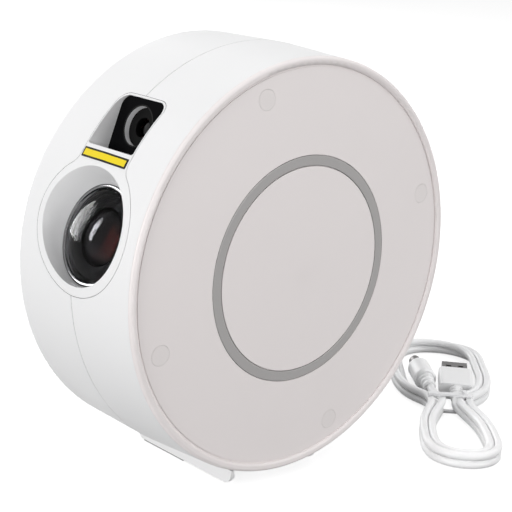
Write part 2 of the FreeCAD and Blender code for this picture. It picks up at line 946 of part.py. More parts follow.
def chassis():
    low_w, top_w = base_low - lens_depth, chassis_top - lens_depth
    v_range = (chassis_low_v, chassis_high_v)
    base = block((low_w, low_w + chassis_wall), v_range, (chassis_back_u, chassis_front))
    wall = block((low_w, top_w), v_range, (chassis_plane, chassis_front))
    ribs = []
    for v in (drive_v - motor_radius - 2, ripple_v):
        rib = Part.Face(Part.makePolygon([
            vec(low_w + 1, v - rib_wall / 2, chassis_plane - rib_run),
            vec(low_w + 1, v - rib_wall / 2, chassis_plane + 1),
            vec(low_w + 1 + rib_reach, v - rib_wall / 2, chassis_plane + 1),
            vec(low_w + 1, v - rib_wall / 2, chassis_plane - rib_run),
        ]))
        ribs.append(rib.extrude(vec(0, rib_wall, 0)))
    laser_foot, ripple_foot = vec(0, laser_offset, chassis_plane), vec(0, ripple_v, chassis_plane)
    shoulder_height = chassis_wall + gear_gap - rest_gap
    bearing = Part.makeCylinder(bearing_outer, gear_high - 0.2 - chassis_plane, laser_foot)
    shoulder = Part.makeCylinder(bearing_outer + 1.2, shoulder_height, laser_foot)
    boss = Part.makeCylinder(hub_radius + 0.4, shoulder_height - rest_gap, ripple_foot)
    body = joined([base, wall] + ribs + [bearing, shoulder, boss])
    through = 12
    cuts = [
        Part.makeCylinder(laser_beam_radius, through, vec(0, laser_offset, chassis_plane - 1)),
        Part.makeCylinder(motor_boss_radius + fit_gap, through, vec(0, drive_v, chassis_plane - 1)),
        Part.makeCylinder(led_tube_radius - 0.9, through, vec(0, lens_offset, chassis_plane - 1)),
        Part.makeCylinder(axle_radius + 0.02, through, vec(0, ripple_v, chassis_plane + 0.2)),
    ]
    thread, clearance = small_screw_radius + running_gap, small_screw_radius + fit_gap
    for v, w in motor_screw_places() + led_screw_places() + clamp_screw_places():
        cuts.append(Part.makeCylinder(thread, through, vec(w, v, chassis_plane - 1)))
    body = on_optics(body.cut(cuts), 0)
    return without(body, [rod(clearance, p - axis_y, p + axis_y * 8) for p in chassis_points()])


def chassis_screws():
    length = chassis_wall + chassis_foot + 1
    one = screw(small_screw_radius, small_screw_head_radius, small_screw_head, length)
    return [screwed(one, vec(p.x, base_high, p.z), axis_y * -1) for p in chassis_points()]


def motor_screw_places():
    return [(drive_v, -motor_ear_reach), (drive_v, motor_ear_reach)]


def led_screw_places():
    reach = heatsink_length / 2 - 4
    return [(lens_offset, -reach), (lens_offset, reach)]


def clamp_screw_places():
    reach = clamp_side / 2 - 2
    return [(laser_offset - reach, -reach), (laser_offset - reach, reach)]


def motor():
    """Gear motor with two screw ears at its front face."""
    front = chassis_plane
    body = lathed([
        (0, front - motor_length - motor_can_length),
        (motor_can_radius, front - motor_length - motor_can_length),
        (motor_can_radius, front - motor_length),
        (motor_radius, front - motor_length),
        (motor_radius, front),
        (motor_boss_radius, front),
        (motor_boss_radius, chassis_front - 0.2),
        (0, chassis_front - 0.2),
    ])
    ear_half = small_screw_radius + 1.6
    ears = prism(rounded(motor_ear_reach + ear_half, -ear_half, ear_half, ear_half - 0.1, ear_half - 0.1),
                 front - motor_ear_wall, front)
    holes = [Part.makeCylinder(small_screw_radius + fit_gap, 5, vec(w, 0, front - 3))
             for w in (-motor_ear_reach, motor_ear_reach)]
    shaft = Part.makeCylinder(axle_radius + running_gap, 10, vec(0, 0, front - 4.2))
    return on_optics(joined([body, ears]).cut(holes + [shaft]), drive_v)


def chassis_fixings():
    """Screws that hold the motor, the laser clamp and the heatsink on the chassis wall."""
    placed = []
    reach = chassis_wall - 0.3
    short = screw(small_screw_radius, small_screw_head_radius, small_screw_head, motor_ear_wall + reach)
    for v, w in motor_screw_places():
        placed.append(screwed(short, in_optics(chassis_plane - motor_ear_wall, v, w), light))
    middle = screw(small_screw_radius, small_screw_head_radius, small_screw_head, clamp_length + reach)
    for v, w in clamp_screw_places():
        placed.append(screwed(middle, in_optics(chassis_plane - clamp_length, v, w), light))
    depth = led_tube_length + led_board_wall + heatsink_base
    long = screw(small_screw_radius, small_screw_head_radius, small_screw_head, depth + reach)
    for v, w in led_screw_places():
        placed.append(screwed(long, in_optics(chassis_plane - depth, v, w), light))
    return placed


led_face = chassis_plane - led_tube_length


def led_tube():
    """Black tube from the LED board to the chassis wall, with the collimator's shelf inside."""
    shelf = chassis_plane - 7
    bore = collimator_radius + running_gap
    spigot = led_tube_radius - 1.0
    return on_optics(lathed([
        (collimator_radius - 1, led_face),
        (led_tube_radius, led_face),
        (led_tube_radius, chassis_plane),
        (spigot, chassis_plane),
        (spigot, chassis_front),
        (bore, chassis_front),
        (bore, shelf),
        (collimator_radius - 1, shelf),
    ]), lens_offset)


def collimator():
    shelf = chassis_plane - 7
    edge = shelf + 1.4
    x, z = cap_middle(collimator_radius, 3.6)
    return on_optics(lathed([
        (0, shelf),
        (collimator_radius, shelf),
        (collimator_radius, edge),
        [(x, edge + z), (0, edge + 3.6)],
    ]), lens_offset)


def led_board():
    half_w, half_v = heatsink_length / 2, heatsink_width / 2
    board = prism(rounded(half_w, -half_v, half_v, 1, 1), led_face - led_board_wall, led_face)
    holes = [Part.makeCylinder(small_screw_radius + fit_gap, 5, vec(w, 0, led_face - 3))
             for v, w in led_screw_places()]
    return on_optics(board.cut(holes), lens_offset)


def led_chips():
    half, pitch = led_chip_side / 2, led_chip_side * 0.7
    height = (led_face, led_face + led_chip_height)
    return [on_optics(block((w - half, w + half), (v - half, v + half), height), lens_offset)
            for w in (-pitch, pitch) for v in (-pitch, pitch)]


def led_heatsink():
    half_w, half_v = heatsink_length / 2, heatsink_width / 2
    back = led_face - led_board_wall
    base = block((-half_w, half_w), (-half_v, half_v), (back - heatsink_base, back))
    pitch = (heatsink_length - fin_wall) / (fin_count - 1)
    fins = [block((-half_w + i * pitch, -half_w + i * pitch + fin_wall), (-half_v, half_v),
                  (back - heatsink_base - fin_height, back - heatsink_base)) for i in range(fin_count)]
    under = back - heatsink_base - 1
    holes = [Part.makeCylinder(small_screw_radius + fit_gap, heatsink_base + 2, vec(w, 0, under))
             for v, w in led_screw_places()]
    return on_optics(joined([base] + fins).cut(holes), lens_offset)


def laser_module():
    back = chassis_plane - laser_length
    return on_optics(lathed([
        (0, back),
        (laser_radius - 0.5, back),
        (laser_radius, back + 0.5),
        (laser_radius, chassis_plane),
        (1.5, chassis_plane),
        (1.5, chassis_plane - 3),
        (0, chassis_plane - 3),
    ]), laser_offset)


def laser_clamp():
    """Finned aluminium block around the laser module."""
    half = clamp_side / 2
    back = chassis_plane - clamp_length
    body = block((-half, half), (-half, half), (back, chassis_plane))
    cuts = [Part.makeCylinder(laser_radius + running_gap, clamp_length + 2, vec(0, 0, back - 1))]
    for v, w in clamp_screw_places():
        cuts.append(Part.makeCylinder(small_screw_radius + fit_gap, clamp_length + 2,
                                      vec(w, v - laser_offset, back - 1)))
    for i in range(4):
        low = back + 2.6 + i * 4.2
        cuts.append(block((-half - 1, half + 1), (laser_radius + 1, half + 1), (low, low + 2)))
    return on_optics(body.cut(cuts), laser_offset)


# ---- control board, buttons, power inlet

button_angles = [90 + button_pitch_angle * (i - 1.5) for i in range(4)]
board_radius = screw_circle - boss_radius - board_boss_gap
button_circle = board_radius - button_inset
jack_circle = board_radius - jack_inset
button_rest = rear_inner - 0.1
switch_top = board_rear + switch_body
plunger_top = switch_top + switch_plunger
stem_end = plunger_top + button_travel + running_gap


def board_points():
    """Screw places of the control board on the posts of the rear shell, at the board's rear face."""
    reach, low = board_radius - board_screw_inset, board_flat + low_screw_rise
    places = [vec(low_screw_inset - board_radius, board_rear, low), vec(low_screw_side, board_rear, low)]
    return places + [around(reach, angle, board_rear) for angle in board_screw_angles]


def main_board():
    """Round board with a straight lower edge."""
    half = sqrt(board_radius ** 2 - board_flat ** 2)
    edge = [(-half, board_flat), (half, board_flat), [(0, board_radius), (-half, board_flat)]]
    board = prism(edge, 0, board_wall)
    board.rotate(origin, vec(1, 0, 0), 90)
    board.translate(vec(0, board_rear, 0))
    clearance = small_screw_radius + fit_gap
    return without(board, [rod(clearance, p - axis_y * 3, p + axis_y) for p in board_points()])


def board_screws():
    one = screw(small_screw_radius, small_screw_head_radius, small_screw_head, board_wall + board_screw_bite)
    return [screwed(one, vec(p.x, board_depth, p.z), axis_y) for p in board_points()]


def board_chips():
    """Controller, amplifier, radio module and capacitors on the front of the board."""
    bodies = [block((x, x + width), (board_depth - thickness, board_depth),
                    (board_flat + rise, board_flat + rise + height))
              for x, rise, width, height, thickness in chips]
    feet = [vec(x, board_depth, board_flat + rise) for x, rise in cans]
    return bodies + [rod(can_radius, foot, foot - axis_y * can_height) for foot in feet]


def tact_switches():
    half = switch_side / 2
    placed = []
    for angle in button_angles:
        at = around(button_circle, angle, 0)
        body = block((at.x - half, at.x + half), (board_rear, switch_top), (at.z - half, at.z + half))
        plunger = rod(1.7, vec(at.x, switch_top - 0.1, at.z), vec(at.x, plunger_top, at.z))
        placed.append(body.fuse(plunger))
    return placed


def button(angle):
    """Cap with a retaining flange behind the wall and a stem towards its switch."""
    cap = turned([
        (0, stem_end),
        (1.6, stem_end),
        (1.6, button_rest - button_flange),
        (button_radius + 1, button_rest - button_flange),
        (button_radius + 1, button_rest),
        (button_radius, button_rest),
        (button_radius, drum_depth - 0.5),
        (button_radius - 0.4, drum_depth - 0.1),
        (0, drum_depth - 0.1),
    ])
    cap.translate(around(button_circle, angle, 0))
    return cap


def power_inlet():
    """Round socket standing on the board, open at the rear wall."""
    at = around(jack_circle, jack_angle, 0)
    half = jack_side / 2
    nose_top = rear_face - 0.3
    foot = block((at.x - half, at.x + half), (board_rear, board_rear + 4), (at.z - half, at.z + half))
    nose = rod(jack_nose_radius, vec(at.x, board_rear + 3.9, at.z), vec(at.x, nose_top, at.z))
    bore = rod(jack_bore_radius, vec(at.x, board_rear + 0.8, at.z), vec(at.x, nose_top + 1, at.z))
    return foot.fuse(nose).cut(bore)


def inlet_pin():
    at = around(jack_circle, jack_angle, 0)
    return rod(jack_pin_radius, vec(at.x, board_rear + 0.8, at.z), vec(at.x, rear_face - 0.8, at.z))


# ---- speaker

speaker_drop = screw_circle - boss_radius - speaker_boss_gap - speaker_radius
speaker_screw_angles = [45, 135, 225, 315]


def speaker_points():
    reach = speaker_radius - 1.9
    return [vec(reach * cos(radians(a)), rear_inner, -speaker_drop + reach * sin(radians(a)))
            for a in speaker_screw_angles]


def at_speaker(shape):
    placed = shape.copy()
    placed.translate(vec(0, 0, -speaker_drop))
    return placed


def speaker_frame():
    flange = rear_inner - speaker_flange
    back = rear_inner - speaker_depth
    neck = magnet_radius - 1
    lip = speaker_radius - speaker_lip
    basket = turned([
        (neck - speaker_wall, back),
        (neck, back),
        (lip - 0.5, flange),
        (speaker_radius, flange),
        (speaker_radius, rear_inner),
        (lip, rear_inner),
        (lip, flange),
        (lip - 0.5 - speaker_wall, flange),
    ])
    holes = [rod(small_screw_radius + fit_gap, p - axis_y * (speaker_flange + 1), p + axis_y)
             for p in speaker_points()]
    return without(at_speaker(basket), holes)


def speaker_screws():
    depth = speaker_flange + shell_wall - 0.9
    one = screw(small_screw_radius, small_screw_head_radius - 0.4, small_screw_head, depth)
    return [screwed(one, p - axis_y * speaker_flange, axis_y) for p in speaker_points()]


def speaker_cone():
    """Paper cone with a raised surround and a domed dust cap, glued to the basket's rim."""
    edge = rear_inner - speaker_flange
    outer = speaker_radius - speaker_lip - fit_gap
    deep = edge - speaker_depth / 2
    sheet = 0.5
    cap_radius, cap_height = 6, 2.4
    x, rise = cap_middle(cap_radius, cap_height)
    return at_speaker(turned([
        (0, deep + cap_height),
        [(x, deep + rise), (cap_radius, deep)],
        (outer - 2.4, edge - 0.2),
        (outer - 1.8, edge + 0.7),
        (outer - 0.6, edge + 0.7),
        (outer, edge),
        (outer, edge + sheet),
        (outer - 0.5, edge + 0.7 + sheet),
        (outer - 1.9, edge + 0.7 + sheet),
        (outer - 2.6, edge - 0.2 + sheet),
        (cap_radius, deep + sheet),
        [(x, deep + rise + sheet), (0, deep + cap_height + sheet)],
    ]))


def speaker_magnet():
    back = rear_inner - speaker_depth
    return at_speaker(turned([
        (0, back - magnet_depth),
        (magnet_radius, back - magnet_depth),
        (magnet_radius, back),
        (0, back),
    ]))


# ---- cradle

leg_inner = cradle_half_width - cradle_wall
cradle_rear = drum_depth - cradle_rear_inset
saddle_front = cradle_front + saddle_front_inset
saddle_rear = cradle_rear - saddle_rear_inset
saddle_radius = parting_radius + rest_gap + pad_wall
leg_bottom = -ground_depth + foot_wall
foot_inner = cradle_half_width - foot_width


def sideways(shape, x):
    """Shape drawn in depth and height, placed with its thickness along +X."""
    placed = shape.copy()
    placed.Placement = FreeCAD.Placement(vec(x, 0, 0), FreeCAD.Rotation(vec(1, 1, 1), 120))
    return placed


def cradle():
    """Curved saddle between two upright legs, with inward feet."""
    top = -parting_radius * cos(asin(leg_inner / parting_radius))
    bulge = cradle_corner * (1 - sqrt(0.5))
    low = leg_bottom
    leg = prism([
        (cradle_front + cradle_corner, low),
        (cradle_rear - cradle_corner, low),
        [(cradle_rear - bulge, low + bulge), (cradle_rear, low + cradle_corner)],
        (cradle_rear, top),
        (cradle_front, top),
        (cradle_front, low + cradle_corner),
        [(cradle_front + bulge, low + bulge), (cradle_front + cradle_corner, low)],
    ], 0, cradle_wall)
    y_range, z_range = (cradle_front + cradle_corner, cradle_rear - cradle_corner), (low, low + cradle_wall)
    foot_outer = cradle_half_width - skin
    feet = [block(x_range, y_range, z_range)
            for x_range in ((-foot_outer, -foot_inner), (foot_inner, foot_outer))]
    sheet = turned([(saddle_radius, saddle_front), (saddle_radius + cradle_wall, saddle_front),
                    (saddle_radius + cradle_wall, saddle_rear), (saddle_radius, saddle_rear)])
    under = block((-leg_inner - skin, leg_inner + skin), (0, drum_depth), (-ground_depth, top))
    body = joined([sheet.common(under), sideways(leg, leg_inner), sideways(leg, -cradle_half_width)] + feet)
    return body.cut(rod(saddle_radius - pad_wall, vec(0, 0, 0), vec(0, drum_depth, 0)))


def saddle_pads():
    """Two rubber strips along the saddle that the drum lies on."""
    band = turned([(saddle_radius - pad_wall, saddle_front + 1), (saddle_radius, saddle_front + 1),
                   (saddle_radius, saddle_rear - 1), (saddle_radius - pad_wall, saddle_rear - 1)])
    edge = leg_inner - pad_inset
    return [band.common(block(x_range, (0, drum_depth), (-ground_depth, 0)))
            for x_range in ((-edge, pad_width - edge), (edge - pad_width, edge))]


def foot_pads():
    """Long pads under the rear half of each leg and short ones behind its front corner."""
    middle = (cradle_front + cradle_rear) / 2
    front = cradle_front + cradle_corner + 1
    pads = []
    for inset, low, high in ((fit_gap, middle, cradle_rear - cradle_corner),
                             (short_foot_inset, front, front + short_foot_length)):
        outer = cradle_half_width - inset
        for x_range in ((-outer, -foot_inner - fit_gap), (foot_inner + fit_gap, outer)):
            pads.append(block(x_range, (low, high), (-ground_depth, leg_bottom)))
    return pads


# ---- power cable

def at_hank(shape):
    """Shape drawn with the hank lying along +Y from its folded end, placed on the ground."""
    placed = shape.copy()
    turn = FreeCAD.Rotation(vec(0, 0, 1), hank_heading - 90)
    placed.Placement = FreeCAD.Placement(vec(*hank_near, -ground_depth), turn).multiply(shape.Placement)
    return placed


def along(shape, x, y, z, lean):
    """Shape drawn along +Z, laid down to point along the hank and turned aside by an angle."""
    placed = shape.copy()
    lay = FreeCAD.Rotation(vec(0, 0, 1), -lean).multiply(FreeCAD.Rotation(vec(1, 0, 0), -90))
    placed.Placement = FreeCAD.Placement(vec(x, y, z), lay)
    return placed


tie_low = hank_waist - tie_width / 2
tie_high = tie_low + tie_width
throat = tie_high + hank_band
dc_start = (-7.2, throat + 9)
usb_start = (4.2, throat)


def cable_tie():
    half = hank_waist_width / 2 - tie_wall
    outside = block((-half - tie_wall, half + tie_wall), (tie_low, tie_high), (0, hank_height))
    inside = block((-half, half), (0, hank_length), (tie_wall, hank_height - tie_wall))
    foot = vec(half - 3, hank_waist, hank_height - fit_gap)
    knot = rod(tie_knot_radius, foot, foot + vec(0, 0, tie_knot_height))
    return outside.cut(inside).fuse(knot)


def cable_hank():
    """Outer shape of the folded turns: a bundle, a tied waist and an open loop."""
    waist, bundle, loop = hank_waist_width / 2, hank_bundle_width / 2, hank_loop_width / 2
    neck = tie_low - hank_neck
    folds = prism([
        (waist, tie_high + 1),
        (-waist, tie_high + 1),
        (-waist, neck),
        (-bundle, neck - hank_taper),
        (-bundle, bundle),
        [(0, 0), (bundle, bundle)],
        (bundle, neck - hank_taper),
        (waist, neck),
    ], 0, hank_height)
    edge = outline([
        (-waist, tie_high),
        (waist, tie_high),
        (loop, tie_high + loop_shoulder),
        (loop, hank_length - loop),
        [(0, hank_length), (-loop, hank_length - loop)],
        (-loop, tie_high + loop_shoulder),
    ])
    up = vec(0, 0, hank_height - cord_diameter / 2)
    opening = Part.Face(edge.makeOffset2D(-hank_band, 2)).extrude(up * 2)
    open_loop = Part.Face(edge).extrude(up).cut(opening)
    return joined([folds, open_loop]).cut(cable_tie())


def plug_relief(length, wide, narrow):
    """Ribbed sleeve from the cord to the plug's body, drawn along +Z."""
    hole = cord_diameter / 2
    profile = [(hole, 0), (narrow, 0)]
    ribs = 3
    pitch = length / ribs
    for i in range(ribs):
        edge = narrow + (wide - narrow) * (i + 1) / ribs
        profile += [(edge, i * pitch + pitch * 0.25), (edge, i * pitch + pitch * 0.7)]
        if i < ribs - 1:
            profile += [(edge - 0.5, i * pitch + pitch * 0.8), (edge - 0.5, (i + 1) * pitch)]
    return lathed(profile + [(wide, length), (0, length), (0, length - 1), (hole, length - 1)])


def dc_plug_body():
    body = lathed([
        (0, dc_relief_length - 0.1),
        (dc_body_radius - 0.8, dc_relief_length - 0.1),
        (dc_body_radius, dc_relief_length + 1.5),
        (dc_body_radius, dc_relief_length + dc_body_length - 0.6),
        (dc_body_radius - 0.6, dc_relief_length + dc_body_length),
        (0, dc_relief_length + dc_body_length),
    ])
    seat = Part.makeCylinder(dc_barrel_radius, 4, vec(0, 0, dc_relief_length + dc_body_length - 3))
    plug = joined([plug_relief(dc_relief_length, 3.6, 2.6), body]).cut(seat)
    return along(plug, *dc_start, dc_body_radius, dc_lean)


def dc_plug_barrel():
    """Barrel with a black insulator's bore for the inlet's pin."""
    start = dc_relief_length + dc_body_length - 3
    end = start + 3 + dc_barrel_length
    barrel = lathed([
        (0, start),
        (dc_barrel_radius, start),
        (dc_barrel_radius, end - 0.4),
        (dc_barrel_radius - 0.4, end),
        (dc_bore_radius, end),
        (dc_bore_radius, end - dc_barrel_length + 0.6),
        (0, end - dc_barrel_length + 0.6),
    ])
    return along(barrel, *dc_start, dc_body_radius, dc_lean)


def usb_plug_body():
    half_width, half_height = usb_body_width / 2, usb_body_height / 2
    body = prism(rounded(half_width, -half_height, half_height, 1.6, 1.6),
                 usb_relief_length - 0.1, usb_relief_length + usb_body_length)
    seat = block((-usb_shell_width / 2, usb_shell_width / 2), (-usb_shell_height / 2, usb_shell_height / 2),
                 (usb_relief_length + usb_body_length - 3, usb_relief_length + usb_body_length + 1))
    plug = joined([plug_relief(usb_relief_length, 3.4, 2.6), body]).cut(seat)
    return along(plug, *usb_start, half_height, usb_lean)


def usb_plug_shell():
    """Metal shell with its tongue and the two latch windows on each broad side."""
    start = usb_relief_length + usb_body_length - 3
    end = start + 3 + usb_shell_length
    half_width, half_height = usb_shell_width / 2, usb_shell_height / 2
    shell = block((-half_width, half_width), (-half_height, half_height), (start, end))
    hollow = block((-half_width + usb_shell_wall, half_width - usb_shell_wall),
                   (-half_height + usb_shell_wall, half_height - usb_shell_wall), (start + 1, end + 1))
    windows = [block((x - 1.2, x + 1.2), (-half_height - 1, half_height + 1), (end - 7.2, end - 4.8))
               for x in (-2.9, 2.9)]
    tongue = block((-half_width + usb_shell_wall, half_width - usb_shell_wall),
                   (-half_height + usb_shell_wall, -0.1), (start, end - 0.6))
    return along(joined([shell.cut([hollow] + windows), tongue]), *usb_start, usb_body_height / 2, usb_lean)


def rounded_route(points):
    """Straight runs joined by the largest tangent arcs that fit. Prints each arc's radius."""
    edges = []
    start = points[0]
    for before, corner, after in zip(points, points[1:], points[2:]):
        back, ahead = before - corner, after - corner
        half_turn = (pi - back.getAngle(ahead)) / 2
        touch = 0.45 * min(back.Length, ahead.Length)
        radius = touch / tan(half_turn)
        print("cord arc radius", round(radius, 1))
        back.normalize()
        ahead.normalize()
        first, last = corner + back * touch, corner + ahead * touch
        inward = (back + ahead).normalize()
        middle = corner + inward * (radius / cos(half_turn) - radius)
        edges += [Part.LineSegment(start, first).toShape(), Part.Arc(first, middle, last).toShape()]
        start = last
    edges.append(Part.LineSegment(start, points[-1]).toShape())
    return Part.Wire(edges)


dc_axis = vec(sin(radians(dc_lean)), cos(radians(dc_lean)), 0)
lead_points = [
    vec(-5.2, throat, dc_body_radius),
    vec(-6.3, throat + 3.4, dc_body_radius),
    vec(*dc_start, dc_body_radius) - dc_axis * 2.4,
    vec(*dc_start, dc_body_radius) + dc_axis * (dc_relief_length - 1),
]


def cable_lead():
    """Cord between the tied waist and the round plug."""
    route = rounded_route(lead_points)
    section = Part.Wire(Part.makeCircle(cord_diameter / 2, lead_points[0], lead_points[1] - lead_points[0]))
    tube = route.makePipeShell([section], True, False)
    section = pi * cord_diameter ** 2 / 4
    print("cord tube volume over section times length", tube.Volume / (section * route.Length))
    return tube


# ---- export

drum_nodes = {
    "front_cover": front_cover(),
    "ring_trim": ring_trim(),
    "screw_plugs": screw_plugs(),
    "cover_screws": cover_screws(),
    "front_shell": front_shell(),
    "rear_shell": rear_shell(),
    "lens_bezel": lens_bezel(),
    "blank_strip": blank_strip(),
    "window_plate": window_plate(),
    "chrome_ring": chrome_ring(),
    "dome_lens": dome_lens(),
    "lens_barrel": lens_barrel(),
    "inner_lens": inner_lens(),
    "laser_tube": laser_tube(),
    "laser_baffle": laser_baffle(),
    "laser_lens": laser_lens(),
    "optical_chassis": chassis(),
    "chassis_screws": chassis_screws(),
    "chassis_fixings": chassis_fixings(),
    "led_tube": led_tube(),
    "collimator_lens": collimator(),
    "led_board": led_board(),
    "led_chips": led_chips(),
    "led_heatsink": led_heatsink(),
    "laser_module": laser_module(),
    "laser_clamp": laser_clamp(),
    "wheel_motor": motor(),
    "motor_shaft": motor_shaft(),
    "drive_gear": drive_gear(),
    "ripple_axle": ripple_axle(),
    "ripple_gear": ripple_gear(),
    "ripple_hub": ripple_hub(),
    "ripple_disc": ripple_disc(),
    "grating_gear": grating_gear(),
    "grating_disc": grating_disc(),
    "main_board": main_board(),
    "board_chips": board_chips(),
    "board_screws": board_screws(),
    "tact_switches": tact_switches(),
    "power_inlet": power_inlet(),
    "inlet_pin": inlet_pin(),
    "speaker_frame": speaker_frame(),
    "speaker_cone": speaker_cone(),
    "speaker_magnet": speaker_magnet(),
    "speaker_screws": speaker_screws(),
}
for name, angle in zip(("power", "lights", "laser", "sound"), button_angles):
    drum_nodes["button_" + name] = button(angle)

ground_nodes = {
    "cradle": cradle(),
    "saddle_pads": saddle_pads(),
    "foot_pads": foot_pads(),
}
cable_nodes = {
    "cable_hank": cable_hank(),
    "cable_tie": cable_tie(),
    "cable_lead": cable_lead(),
    "dc_plug_body": dc_plug_body(),
    "dc_plug_barrel": dc_plug_barrel(),
    "usb_plug_body": usb_plug_body(),
    "usb_plug_shell": usb_plug_shell(),
}


def whole(shape):
    return Part.makeCompound(shape) if isinstance(shape, list) else shape.copy()


os.makedirs("parts", exist_ok=True)
for group in (drum_nodes, ground_nodes, cable_nodes):
    for name, shape in group.items():
        node = whole(shape)
        if group is drum_nodes:
            node.rotate(origin, axis_y, -rest_roll)
        if group is cable_nodes:
            node = at_hank(node)
        node.translate(vec(0, -drum_depth / 2, ground_depth))
        node.exportStep("parts/" + name + ".step")
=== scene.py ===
import json
import math

import bpy
from mathutils import Matrix, Vector


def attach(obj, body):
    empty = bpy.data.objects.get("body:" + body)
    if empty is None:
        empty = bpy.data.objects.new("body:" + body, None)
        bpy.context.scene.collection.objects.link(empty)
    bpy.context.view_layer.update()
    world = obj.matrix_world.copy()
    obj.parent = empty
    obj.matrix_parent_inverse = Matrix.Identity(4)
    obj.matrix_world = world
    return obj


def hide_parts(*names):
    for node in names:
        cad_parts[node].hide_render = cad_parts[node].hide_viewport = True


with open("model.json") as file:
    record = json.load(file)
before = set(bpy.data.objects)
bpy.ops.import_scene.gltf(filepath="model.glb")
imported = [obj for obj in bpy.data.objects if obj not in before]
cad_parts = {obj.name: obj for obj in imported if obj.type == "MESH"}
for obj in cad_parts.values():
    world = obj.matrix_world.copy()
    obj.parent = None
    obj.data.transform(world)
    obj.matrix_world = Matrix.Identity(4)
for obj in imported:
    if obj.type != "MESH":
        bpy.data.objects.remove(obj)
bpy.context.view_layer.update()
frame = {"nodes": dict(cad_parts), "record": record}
scene = bpy.context.scene
nodes = frame["nodes"]

# camera: place, picture axes, focal length and nearest distance seen
cameraSettings = {"place": (-0.36199, -0.39690, 0.22932), "right": (0.74135, -0.66822, 0.06225),
                  "up": (0.13205, 0.23619, 0.96269), "focalLength": 99.70, "clipStart": 0.01}
cameraData = bpy.data.cameras.new("camera")
cameraData.lens = cameraSettings["focalLength"]
cameraData.clip_start = cameraSettings["clipStart"]
camera = bpy.data.objects.new("camera", cameraData)
scene.collection.objects.link(camera)
right = Vector(cameraSettings["right"]).normalized()
up = Vector(cameraSettings["up"]).normalized()
facing = Matrix((right, up, right.cross(up))).transposed().to_4x4()
camera.matrix_world = Matrix.Translation(cameraSettings["place"]) @ facing
scene.camera = camera
scene.view_settings.view_transform = "Standard"
print("camera placed")


# power cable: one cord from the round plug, through the tied hank, to the USB plug
cable = {"diameter": 0.0035, "near": (0.0671, -0.06965), "heading": 47.0, "low": 0.0018, "high": 0.0054,
         "tieY": 0.064, "tieLow": 0.0027, "tieHigh": 0.0062, "foldEnd": 0.030, "narrowing": 0.045,
         "narrowingShare": 0.2, "widening": 0.0785, "wideningShare": 0.75, "loopStart": 0.094, "shoulder": 0.112,
         "roundness": 6, "smoothness": 8}
# half widths of a turn at the tied waist, in the bundle and in the open loop; the loop's top and the fold's end
lanes = {"inner": {"waist": 0.0023, "bundle": 0.0115, "loop": 0.0178, "top": 0.1435, "fold": 0.0050},
         "outer": {"waist": 0.0064, "bundle": 0.0150, "loop": 0.0215, "top": 0.1475, "fold": 0.0020}}


def strand(side, lane, level, upward):
    # one strand on one side of the hank, from the bundle's fold to the loop's shoulder
    waist, bundle, loop = (lanes[lane][part] for part in ("waist", "bundle", "loop"))
    z, tieZ = cable[level], cable["tie" + level.capitalize()]
    narrow, wide = cable["narrowingShare"], cable["wideningShare"]
    points = [(side * bundle, cable["foldEnd"], z),
              (side * (bundle * (1 - narrow) + waist * narrow), cable["narrowing"], z),
              (side * waist, cable["tieY"], tieZ),
              (side * (waist * (1 - wide) + loop * wide), cable["widening"], z),
              (side * loop, cable["loopStart"], z),
              (side * loop, cable["shoulder"], z)]
    return points if upward else points[::-1]


# directions of a round end's corner points, in degrees
cornerAngles = (22.5, 67.5, 112.5, 157.5)


def bend(angles, levels, centres, radii):
    # round end of a turn: corner points just outside the circle, r / cos(22.5 degrees) from its centre,
    # while height, centre and radius slide from those of one lane and level to those of the next
    points = []
    for step, angle in enumerate(angles):
        share = step / (len(angles) - 1)
        z, y, radius = (pair[0] * (1 - share) + pair[1] * share
                        for pair in ([cable[level] for level in levels], centres, radii))
        r = radius / math.cos(math.radians(cornerAngles[0]))
        points.append((r * math.cos(math.radians(angle)), y + r * math.sin(math.radians(angle)), z))
    return points


def fold(lane, level):
    # half circle round the folded end of the bundle
    radius = lanes[lane]["bundle"]
    y = lanes[lane]["fold"] + radius
    return bend([angle - 180 for angle in cornerAngles], (level, level), (y, y), (radius, radius))


def over(lane, level, endLane, endLevel):
    # half circle round the top of the open loop, on to the next lane and level
    radii = [lanes[k]["loop"] for k in (lane, endLane)]
    centres = [lanes[k]["top"] - lanes[k]["loop"] for k in (lane, endLane)]
    return bend(cornerAngles, (level, endLevel), centres, radii)


# the plugs on the cord's ends: where the cord enters the back, the heading, and how far it reaches inside;
# the round plug also has how far it runs straight behind, and its way down from the tie
plugs = {"dc": {"back": (-0.0072, 0.0808, 0.0052), "heading": -6, "inside": 0.0085, "straight": 0.0024,
                "throat": (-0.0052, 0.0718, 0.0052), "tieX": -0.0023},
         "usb": {"back": (0.0042, 0.0718, 0.0038), "heading": 5, "inside": 0.0085}}


def plugLine(plug, along):
    # point on a plug's axis, along metres in front of its back
    angle = math.radians(plug["heading"])
    return tuple(Vector(plug["back"]) + Vector((math.sin(angle), math.cos(angle), 0)) * along)


dc, usb = plugs["dc"], plugs["usb"]
cablePoints = [plugLine(dc, dc["inside"]), plugLine(dc, -dc["straight"]), dc["throat"]]
cablePoints += [(dc["tieX"], cable["tieY"], cable["tieHigh"])] + strand(-1, "inner", "high", False)[4:]
turns = [("inner", "high", "outer", "high"), ("outer", "high", "outer", "low"), ("outer", "low", "inner", "low")]
for lane, level, endLane, endLevel in turns:
    cablePoints += fold(lane, level) + strand(1, lane, level, True)
    cablePoints += over(lane, level, endLane, endLevel) + strand(-1, endLane, endLevel, False)
cablePoints += fold("inner", "low") + strand(1, "inner", "low", True)[:3]  # up to the tie
cablePoints += [plugLine(usb, 0), plugLine(usb, usb["inside"])]


def placeHank(point):
    # from the hank's own frame, lying along +Y, to its place on the ground
    turn = Matrix.Rotation(math.radians(cable["heading"] - 90), 3, "Z")
    return turn @ Vector(point) + Vector((*cable["near"], 0))


